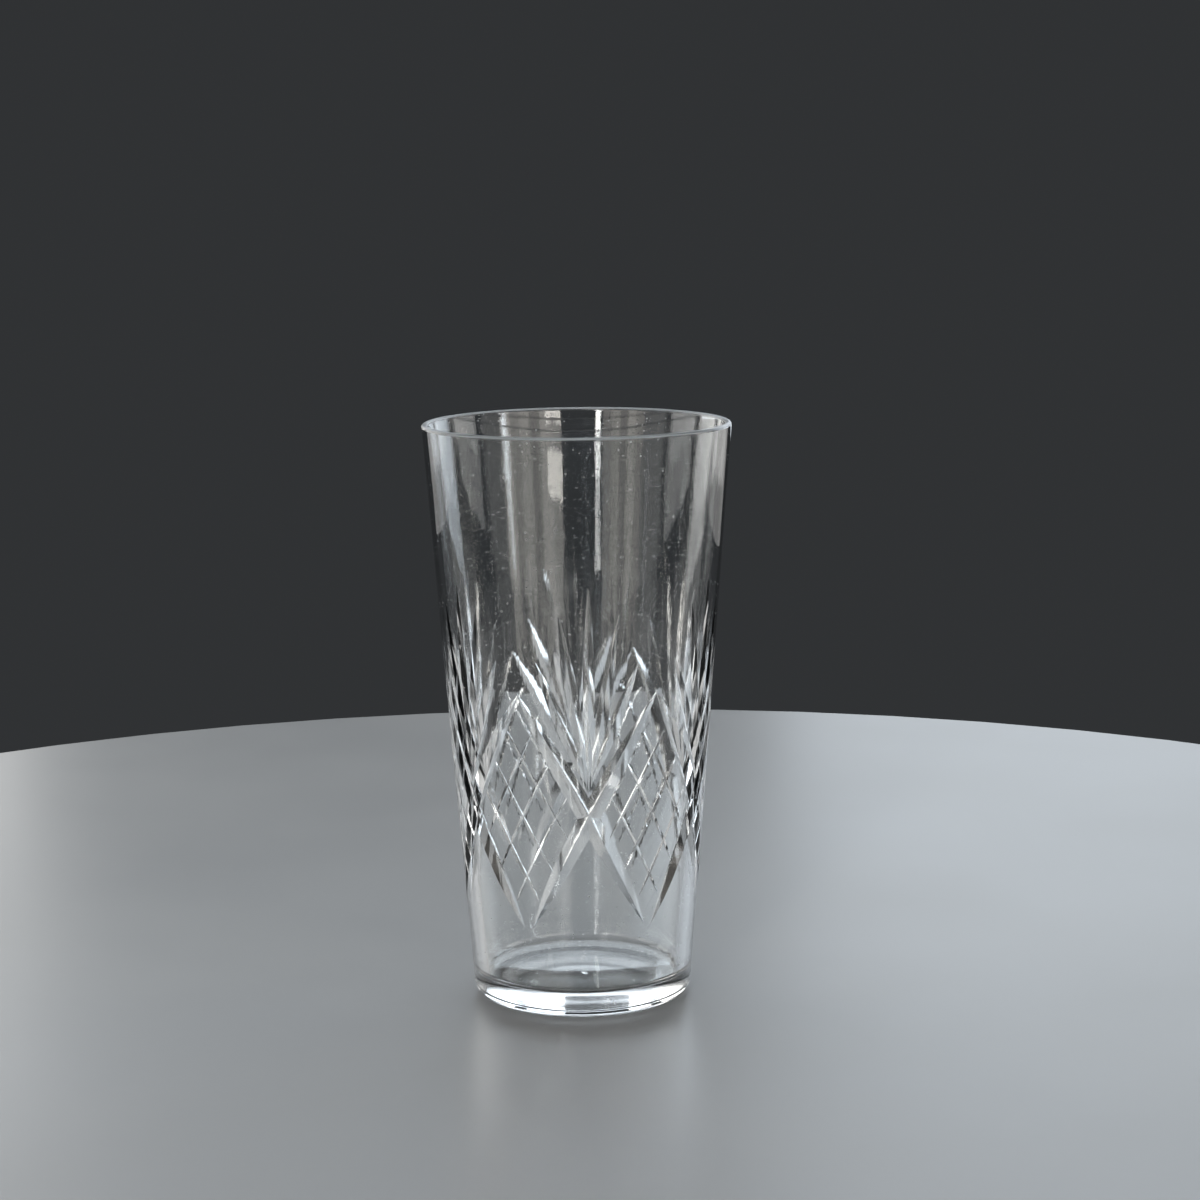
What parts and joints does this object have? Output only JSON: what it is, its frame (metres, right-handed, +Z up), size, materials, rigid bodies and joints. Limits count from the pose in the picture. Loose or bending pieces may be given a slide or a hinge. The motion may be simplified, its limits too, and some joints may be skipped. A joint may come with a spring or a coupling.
{
  "type": "mixing glass",
  "caption": "Straight flared one-piece cut-glass vessel with a thick solid bottom, a rounded rim and a band of crossed mitre cuts, fine lattice and fans.",
  "frame": {"origin": "centre of the foot, on the plane that the glass rests on", "axes": "+Z up along the glass's axis; the front crossing of the cut pattern is on -Y"},
  "size_m": [0.088, 0.088, 0.1665],
  "materials": {
    "crystal": "clear, fire-polished wall with polished wheel cuts"
  },
  "bodies": {
    "root": {"mixing_glass": "crystal"}
  },
  "joints": []
}
